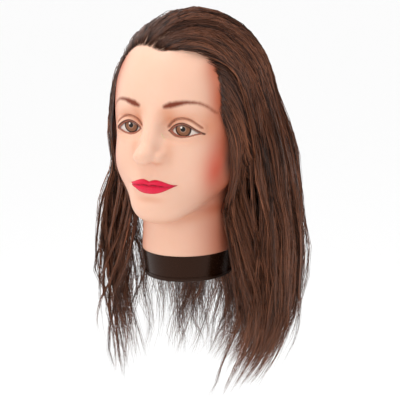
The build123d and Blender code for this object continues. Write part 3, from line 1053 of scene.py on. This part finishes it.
def strand_lines(rng, guides, count, thickness, reach_of=(5.2, 2.0)):
    """Single strands around their guides, cut to length and thinned to their tips."""
    total = len(guides)
    own = np.sort(rng.integers(0, total, count))
    points = STRAND_RINGS + 2
    share = np.linspace(0, 1, points) ** 1.12
    lines = cut_to_length(rng, guides, own, share)
    along = directions(lines)
    outward = lines - (0.0, MIDDLE, 0.0)
    outward[:, :, 2] = np.maximum(lines[:, :, 2] - 190, 0)
    outward -= along * np.sum(outward * along, axis=2, keepdims=True)
    outward /= np.maximum(np.linalg.norm(outward, axis=2, keepdims=True), 1e-9)
    aside = np.cross(along, outward)
    reach = rng.normal(0, 1, (count, 2)) * reach_of
    tight = rng.uniform(0.35, 0.88, total)[own]
    loose = rng.random(count) < LOOSE_SHARE
    close = 1 - tight[:, None] * fade(share, 0.15, 0.95)[None]
    close = np.where(loose[:, None], LOOSE_REACH, close)
    wander = np.zeros((count, points, 2))
    for wave, size in WANDERS:
        phase = rng.uniform(0, 2 * math.pi, (count, 1, 2))
        wander += size * np.sin(2 * math.pi * wave * share[None, :, None] + phase)
    on_crown = 1 - 0.8 * fade(lines[:, :, 2], 150, 215)
    free = np.where(loose, LOOSE_WANDER, 1.0)[:, None]
    wander *= (fade(share, 0.05, 0.6)[None] * on_crown * free)[:, :, None]
    lines = lines + aside * (reach[:, :1] * close + wander[:, :, 0])[:, :, None]
    lines = lines + outward * (reach[:, 1:] * close * on_crown + 0.7 * wander[:, :, 1])[:, :, None]
    lines = off_the_bed(lines, share)
    taper = np.interp(share, *TAPER)
    thick = thickness * taper[None] * rng.uniform(0.75, 1.25, count)[:, None]
    tone = np.clip(rng.normal(0.40, 0.26, count) + rng.normal(0, 0.13, total)[own], 0, 1)
    return lines, thick, tone


def hairline_roots():
    """Closely set roots along the front hairline and down the temples."""
    line = smooth_line(HAIRLINE, 40)
    both = np.vstack([line[::-1] * (-1, 1), line[1:]])
    start = np.stack([both[:, 0] * 0.35, np.full(len(both), -8.0), 150 + (both[:, 1] - 150) * 0.6], axis=1)
    aim = np.stack([both[:, 0], np.full(len(both), -60.0), both[:, 1]], axis=1)
    at = thrown(hair_bed, start, unit(aim - start), 3, 160)
    # slide each root along the head until it is on the line as seen from the front
    for _ in range(12):
        at[:, 0] += (both[:, 0] - at[:, 0]) * 0.7
        at[:, 2] += (both[:, 1] + 1.0 - at[:, 2]) * 0.7
        way = slope(hair_bed, at, 1.0)
        off = hair_bed(at)
        push = np.stack([np.zeros(len(at)), np.sign(way[:, 1] - 1e-6), np.zeros(len(at))], axis=1)
        at += push * (-off / np.maximum(np.abs(way[:, 1]), 0.25))[:, None] * 0.7
    return at


# each section of hair, with the CAD solid that it stands for, if there is one
HAIR_STANDS_FOR = {
    "crown_hair_front": ("hair_front",), "crown_hair_back": ("hair_crown",),
    "left_temple_hair": ("hair_side_left",), "left_side_hair": (), "left_back_hair": ("hair_back_left",),
    "nape_hair": ("hair_nape",), "right_back_hair": ("hair_back_right",), "right_side_hair": (),
    "right_temple_hair": ("hair_side_right",),
}
THINNER = {"right_temple_hair": 0.42, "right_side_hair": 0.5, "right_back_hair": 0.8}


def scalp_sections(roots):
    """Which roots are in each section: front and back of the crown, then round from left to right."""
    order = np.argsort(-roots[:, 2] + 0.25 * np.abs(roots[:, 0]))
    per = GUIDES // len(HAIR_STANDS_FOR)
    top, rest = order[:2 * per], order[2 * per:]
    top = top[np.argsort(roots[top, 1])]
    turn = np.arctan2(-roots[rest, 0], -(roots[rest, 1] - 8))
    rest = rest[np.argsort((turn + 2 * math.pi) % (2 * math.pi))[::-1]]
    return [top[:per], top[per:]] + np.array_split(rest, len(HAIR_STANDS_FOR) - 2)


def make_hair(wanted):
    """Every section of hair, and the closely rooted line along the forehead."""
    rng = np.random.default_rng(wanted.seed)
    thickness = wanted.thickness / MM / 2
    roots = spread_out(scalp_points(rng, GUIDES * 6), GUIDES)
    guides = gathered(guide_paths(rng, roots), rng)
    edge_guides = guide_paths(rng, hairline_roots())
    made = {}
    for name, section in zip(HAIR_STANDS_FOR, scalp_sections(roots)):
        strands = int(wanted.strands * THINNER.get(name, 1))
        made[name] = strand_lines(rng, guides[section], strands, thickness)
    made["hairline_hair"] = strand_lines(rng, edge_guides, wanted.strands, thickness, reach_of=(1.6, 0.5))
    fibre = hair_finish(wanted)
    pieces = [new_piece(strands_mesh(name, *strands)) for name, strands in made.items()]
    for piece in pieces:
        piece.data.materials.append(fibre)
    return pieces


def hair_finish(wanted):
    """Silky brown fibre, a little different in every strand and warmer towards the ends."""
    hair = Finish("brown_hair_fibre", Roughness=0.3, IOR=1.5, Specular_IOR_Level=0.35)
    tone = hair.number("tone")
    run = hair.number("run")
    colour = hair.blend(tone, tuple(wanted.dark_colour), tuple(wanted.light_colour))
    ends = hair.step(run, 0.25, 0.95, 0, 0.35)
    colour = hair.blend(ends, colour, linear(122, 76, 52))
    roots = hair.step(run, 0.02, 0.30, 0.62, 0)
    colour = hair.blend(roots, colour, tuple(wanted.dark_colour))
    hair.feed("Base Color", colour)
    return hair.material


# ---------------------------------------------------------------- stage

ROLL = math.radians(-0.4)
AIM_ACROSS, AIM_UP = 0.0125, 0.0765
SENSOR_WIDTH, LENS = 36.0, 118.08
FLOOR_DROP, FLOOR_SIZE = 0.4, 12


def make_camera(wanted):
    """A long lens that looks at the middle of the head, turned and tipped as the settings say."""
    az, el, roll = wanted.azimuth, wanted.elevation, ROLL
    right = Vector((math.cos(az), math.sin(az), 0))
    up = Vector((-math.sin(az) * math.sin(el), math.cos(az) * math.sin(el), math.cos(el)))
    ahead = up.cross(right)
    turned_right = right * math.cos(roll) + up * math.sin(roll)
    turned_up = up * math.cos(roll) - right * math.sin(roll)
    aim = right * AIM_ACROSS + Vector((0, 0, AIM_UP))
    data = bpy.data.cameras.new("studio_camera")
    data.sensor_width = SENSOR_WIDTH
    data.lens = LENS
    camera = bpy.data.objects.new("studio_camera", data)
    camera.matrix_world = Matrix((turned_right, turned_up, -ahead)).transposed().to_4x4()
    camera.location = aim - ahead * wanted.distance
    bpy.context.scene.collection.objects.link(camera)
    bpy.context.scene.camera = camera


def add_light(name, place, aim, size, power, tint=(1, 1, 1)):
    """A round soft light at a place, turned to what it lights."""
    data = bpy.data.lights.new(name, "AREA")
    data.shape = "DISK"
    data.size = size
    data.energy = power
    data.color = tint
    light = bpy.data.objects.new(name, data)
    light.location = place
    light.rotation_euler = (Vector(aim) - Vector(place)).to_track_quat("-Z", "Y").to_euler()
    bpy.context.scene.collection.objects.link(light)


def make_floor(wanted):
    """A pale floor well below the hair, so that only a faint shadow falls on it."""
    made = bmesh.new()
    bmesh.ops.create_grid(made, x_segments=2, y_segments=2, size=FLOOR_SIZE)
    bmesh.ops.translate(made, verts=made.verts, vec=(0, 0, CAD_BOX[0][2] - FLOOR_DROP))
    mesh = bpy.data.meshes.new("studio_floor")
    made.to_mesh(mesh)
    made.free()
    floor = new_piece(mesh, smooth=False)
    paint = Finish("pale_floor", Roughness=0.9)
    paint.shader.inputs["Base Color"].default_value = wanted.floor_colour
    floor.data.materials.append(paint.material)


# ---------------------------------------------------------------- settings


def colour_setting(name, about, *screen):
    """A colour that a user may change, with its default in 0 to 255 screen values."""
    return FloatVectorProperty(name=name, description=about, subtype="COLOR", size=4, min=0, max=1,
                               default=linear(*screen))


class HeadSettings(bpy.types.PropertyGroup):
    """Paint and painted shade on the face, and paint on the eyes."""

    skin_colour: colour_setting("Skin", "Colour of the bare vinyl skin", 235, 191, 168)
    # painted shade, partly an airbrushed contour, by the hair and down the jaw and neck
    shade_colour: colour_setting("Side shade", "Airbrushed shade by the hair and on the neck", 178, 80, 44)
    blush_colour: colour_setting("Blush", "Airbrushed blush on the cheeks", 206, 92, 70)
    brow_colour: colour_setting("Brows", "Painted eyebrows", 112, 40, 14)
    lip_colour: colour_setting("Lips", "Painted lips", 226, 38, 74)
    iris_colour: colour_setting("Iris", "Lighter streaks of the printed iris", 164, 108, 72)


class BaseSettings(bpy.types.PropertyGroup):
    """The neck base, its clamp socket and the core."""

    base_colour: colour_setting("Neck base", "Moulded band round the foot of the neck", 26, 11, 4)
    plate_colour: colour_setting("Base plate", "Plate under the neck base", 34, 20, 13)
    sleeve_colour: colour_setting("Socket", "Clamp socket's sleeve and cap", 28, 18, 14)
    screw_colour: colour_setting("Screws", "Steel of the base screws", 170, 170, 172)
    foam_colour: colour_setting("Foam", "Rigid foam inside the head", 226, 204, 160)
    liner_colour: colour_setting("Liner", "Coat that locks the hair's roots", 206, 178, 132)


class HairSettings(bpy.types.PropertyGroup):
    """The rooted hair."""

    seed: IntProperty(name="Seed", description="Changes how the strands fall", default=7, min=0)
    strands: IntProperty(name="Strands", description="Strands in each section of hair", default=2000, min=50,
                         max=2200)
    thickness: FloatProperty(name="Thickness", description="Thickness of one strand", default=0.0008,
                             min=0.0001, max=0.002, unit="LENGTH")
    dark_colour: colour_setting("Dark", "Darkest strands", 30, 14, 8)
    light_colour: colour_setting("Light", "Lightest strands", 164, 102, 72)


class StageSettings(bpy.types.PropertyGroup):
    """Camera, lights and floor."""

    azimuth: FloatProperty(name="Azimuth", description="Camera's turn round the head from the front",
                           default=math.radians(24.5), unit="ROTATION")
    elevation: FloatProperty(name="Elevation", description="Camera's height over the level",
                             default=math.radians(12.5), unit="ROTATION")
    distance: FloatProperty(name="Distance", description="Camera's distance", default=1.4, min=0.5,
                            unit="LENGTH")
    key_power: FloatProperty(name="Key light", description="Power of the key light", default=4.2, min=0,
                             unit="POWER")
    floor_colour: FloatVectorProperty(name="Floor", description="Colour of the floor", subtype="COLOR",
                                      size=4, min=0, max=1, default=(0.97, 0.97, 0.97, 1.0))


# ---------------------------------------------------------------- operators


def placed(piece, slot, *stands_for):
    """Ties a new piece to the model's body and hides the CAD solids that it stands for. The slot is not
    used.
    """
    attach(piece, "root")
    if stands_for:
        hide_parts(*stands_for)


def refinish(node, material):
    """Gives a CAD solid a better material."""
    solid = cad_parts[node]
    solid.data.materials.clear()
    solid.data.materials.append(material)


class TRAININGHEAD_OT_stage(bpy.types.Operator):
    """Set up the floor, the soft studio light and the camera"""

    bl_idname = "training_head.stage"
    bl_label = "Studio stage"

    def execute(self, context):
        wanted = context.scene.training_head_stage
        make_camera(wanted)
        make_floor(wanted)
        world = context.scene.world or bpy.data.worlds.new("studio")
        context.scene.world = world
        world.use_nodes = True
        sky = world.node_tree.nodes["Background"]
        sky.inputs["Color"].default_value = (1, 1, 1, 1)
        sky.inputs["Strength"].default_value = 1.0
        add_light("key_light", (-0.5, -1.55, 0.55), (0, 0, 0.12), 0.7, wanted.key_power, (1.0, 0.97, 0.93))
        add_light("hair_light", (-0.35, -0.25, 1.25), (0.02, 0, 0.2), 0.35, 5)
        context.scene.view_settings.view_transform = "Standard"
        return {"FINISHED"}


class TRAININGHEAD_OT_skin(bpy.types.Operator):
    """Make the vinyl face and neck with its painted lips, brows and lids"""

    bl_idname = "training_head.skin"
    bl_label = "Face and neck skin"

    def execute(self, context):
        skin = make_skin()
        skin.data.materials.append(skin_finish(context.scene.training_head_face))
        placed(skin, "vinyl_skin", "head_skin")
        return {"FINISHED"}


class TRAININGHEAD_OT_eyes(bpy.types.Operator):
    """Make both printed eyes"""

    bl_idname = "training_head.eyes"
    bl_label = "Printed eyes"

    def execute(self, context):
        for name, side in (("left", 1), ("right", -1)):
            eye = make_eye("printed_eye_" + name, side)
            eye.data.materials.append(eye_finish(eye.name, context.scene.training_head_face))
            placed(eye, "eye_gloss", "eye_" + name)
        return {"FINISHED"}


class TRAININGHEAD_OT_base(bpy.types.Operator):
    """Finish the neck base, its plate, its screws and the clamp socket"""

    bl_idname = "training_head.base"
    bl_label = "Neck base and socket"

    def execute(self, context):
        wanted = context.scene.training_head_base
        refinish("neck_base", plain_finish("glossy_base", wanted.base_colour, 0.24, 900, 0.0003))
        refinish("base_plate", plain_finish("satin_plate", wanted.plate_colour, 0.42, 700, 0.0004))
        steel = plain_finish("screw_metal", wanted.screw_colour, 0.3, 1200, 0.0002, Metallic=1.0)
        refinish("base_screws", steel)
        sleeve = plain_finish("satin_sleeve", wanted.sleeve_colour, 0.38, 700, 0.0003)
        for node in ("socket_sleeve", "socket_cap"):
            refinish(node, sleeve)
        return {"FINISHED"}


class TRAININGHEAD_OT_core(bpy.types.Operator):
    """Finish the foam core and the coat that locks the hair's roots"""

    bl_idname = "training_head.core"
    bl_label = "Core and root liner"

    def execute(self, context):
        wanted = context.scene.training_head_base
        refinish("foam_core", plain_finish("cream_foam", wanted.foam_colour, 0.85, 500, 0.0012))
        refinish("root_lock_liner", plain_finish("resin_liner", wanted.liner_colour, 0.55, 300, 0.0012))
        return {"FINISHED"}


class TRAININGHEAD_OT_hair(bpy.types.Operator):
    """Root the hair over the scalp, section by section"""

    bl_idname = "training_head.hair"
    bl_label = "Rooted hair"

    def execute(self, context):
        for piece in make_hair(context.scene.training_head_hair):
            placed(piece, "hair_fibre", *HAIR_STANDS_FOR.get(piece.name, ()))
        return {"FINISHED"}


STEPS = (TRAININGHEAD_OT_stage, TRAININGHEAD_OT_skin, TRAININGHEAD_OT_eyes, TRAININGHEAD_OT_base,
         TRAININGHEAD_OT_core, TRAININGHEAD_OT_hair)
SETTINGS = {"training_head_face": HeadSettings, "training_head_base": BaseSettings,
            "training_head_hair": HairSettings, "training_head_stage": StageSettings}


class TRAININGHEAD_PT_panel(bpy.types.Panel):
    """Every step of the training head, with its settings"""

    bl_label = "Training head"
    bl_space_type = "VIEW_3D"
    bl_region_type = "UI"
    bl_category = "Training head"

    def draw(self, context):
        for name, group in SETTINGS.items():
            box = self.layout.box()
            for setting in group.__annotations__:
                box.prop(getattr(context.scene, name), setting)
        for step in STEPS:
            self.layout.operator(step.bl_idname)


def register():
    for made in (*SETTINGS.values(), *STEPS, TRAININGHEAD_PT_panel):
        bpy.utils.register_class(made)
    for name, group in SETTINGS.items():
        setattr(bpy.types.Scene, name, PointerProperty(type=group))


def unregister():
    for name in SETTINGS:
        delattr(bpy.types.Scene, name)
    for made in (TRAININGHEAD_PT_panel, *reversed(STEPS), *reversed(SETTINGS.values())):
        bpy.utils.unregister_class(made)


def main():
    register()
    bpy.ops.training_head.stage()
    bpy.ops.training_head.skin()
    bpy.ops.training_head.eyes()
    bpy.ops.training_head.base()
    bpy.ops.training_head.core()
    bpy.ops.training_head.hair()


if __name__ == "__main__":
    main()
